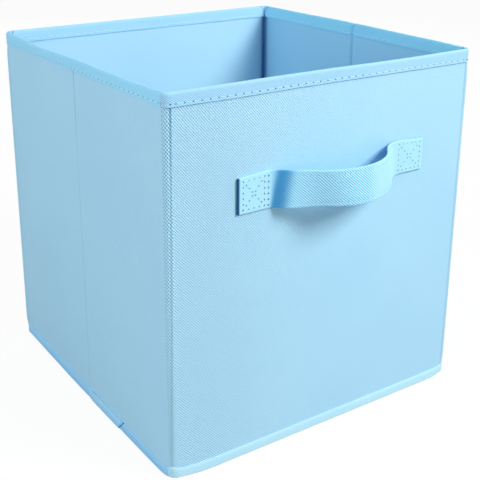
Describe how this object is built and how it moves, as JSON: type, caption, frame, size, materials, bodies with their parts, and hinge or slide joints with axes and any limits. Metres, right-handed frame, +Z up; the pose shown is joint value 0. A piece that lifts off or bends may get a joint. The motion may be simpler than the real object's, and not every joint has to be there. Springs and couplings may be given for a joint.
{
  "type": "fabric storage bin",
  "caption": "Open-topped square fabric storage bin with boards sewn into its walls, bound rim and hem, a strap handle, a lifting base panel and side walls that crease inwards to fold flat.",
  "frame": {"origin": "middle of the underside, on the surface that the bin stands on", "axes": "+Z up out of the open top, -Y towards the wall with the strap, +X to the right as that wall is faced"},
  "size_m": [0.269, 0.295, 0.28],
  "materials": {
    "outer_cloth": "pale blue non-woven cloth with a fine embossed diagonal pattern",
    "lining_cloth": "pale blue non-woven cloth, embossed",
    "binding_tape": "pale blue smooth binding tape",
    "strap_cloth": "pale blue non-woven cloth, folded and sewn",
    "thread": "pale blue sewing thread",
    "grey_board": null
  },
  "bodies": {
    "front": {"front_outer_cloth": "outer_cloth", "front_board": "grey_board", "front_lining": "lining_cloth", "front_left_corner_cloth": "outer_cloth", "front_right_corner_cloth": "outer_cloth", "front_rim_binding": "binding_tape", "front_hem_binding": "binding_tape", "base_cloth": "outer_cloth", "strap_left_end": "strap_cloth", "strap_right_end": "strap_cloth", "strap_left_root": "strap_cloth", "strap_right_root": "strap_cloth", "strap_left_stitching": "thread", "strap_right_stitching": "thread"},
    "back": {"back_outer_cloth": "outer_cloth", "back_board": "grey_board", "back_lining": "lining_cloth", "back_left_corner_cloth": "outer_cloth", "back_right_corner_cloth": "outer_cloth", "back_rim_binding": "binding_tape", "back_hem_binding": "binding_tape"},
    "base_panel": {"base_panel_cover": "outer_cloth", "base_panel_board": "grey_board"},
    "handle": {"strap_bow": "strap_cloth"},
    "left_front": {"left_front_outer_cloth": "outer_cloth", "left_front_board": "grey_board", "left_front_lining": "lining_cloth", "left_front_rim_binding": "binding_tape", "left_front_hem_binding": "binding_tape"},
    "left_rear": {"left_rear_outer_cloth": "outer_cloth", "left_rear_board": "grey_board", "left_rear_lining": "lining_cloth", "left_rear_rim_binding": "binding_tape", "left_rear_hem_binding": "binding_tape"},
    "right_front": {"right_front_outer_cloth": "outer_cloth", "right_front_board": "grey_board", "right_front_lining": "lining_cloth", "right_front_rim_binding": "binding_tape", "right_front_hem_binding": "binding_tape"},
    "right_rear": {"right_rear_outer_cloth": "outer_cloth", "right_rear_board": "grey_board", "right_rear_lining": "lining_cloth", "right_rear_rim_binding": "binding_tape", "right_rear_hem_binding": "binding_tape"}
  },
  "joints": [
    {"name": "fold", "type": "hinge", "parent": "front", "child": "left_front", "pos_m": [-0.12895, -0.12695, 0], "axis": [0, 0, -1], "range_deg": [0, 89], "deforming": ["left_front_hem_binding", "left_rear_hem_binding", "right_front_hem_binding", "right_rear_hem_binding", "back_hem_binding", "base_cloth"]},
    {"name": "left_crease", "type": "hinge", "parent": "left_front", "child": "left_rear", "pos_m": [-0.1344, 0, 0], "axis": [0, 0, 1], "range_deg": [0, 178]},
    {"name": "left_rear_corner", "type": "hinge", "parent": "left_rear", "child": "back", "pos_m": [-0.12895, 0.12695, 0], "axis": [0, 0, -1], "range_deg": [0, 89]},
    {"name": "right_front_corner", "type": "hinge", "parent": "front", "child": "right_front", "pos_m": [0.12895, -0.12695, 0], "axis": [0, 0, 1], "range_deg": [0, 89]},
    {"name": "right_crease", "type": "hinge", "parent": "right_front", "child": "right_rear", "pos_m": [0.1344, 0, 0], "axis": [0, 0, -1], "range_deg": [0, 178]},
    {"name": "base_lift", "type": "hinge", "parent": "front", "child": "base_panel", "pos_m": [0, -0.1271, 0.0022], "axis": [1, 0, 0], "range_deg": [0, 90]},
    {"name": "handle_swing", "type": "hinge", "parent": "front", "child": "handle", "pos_m": [0.004, -0.1315, 0.203], "axis": [-1, 0, 0], "range_deg": [-35, 35]}
  ],
  "couplings": [
    {"joint": "left_crease", "follows": "fold", "ratio": 2},
    {"joint": "left_rear_corner", "follows": "fold", "ratio": 1},
    {"joint": "right_front_corner", "follows": "fold", "ratio": 1},
    {"joint": "right_crease", "follows": "fold", "ratio": 2}
  ]
}
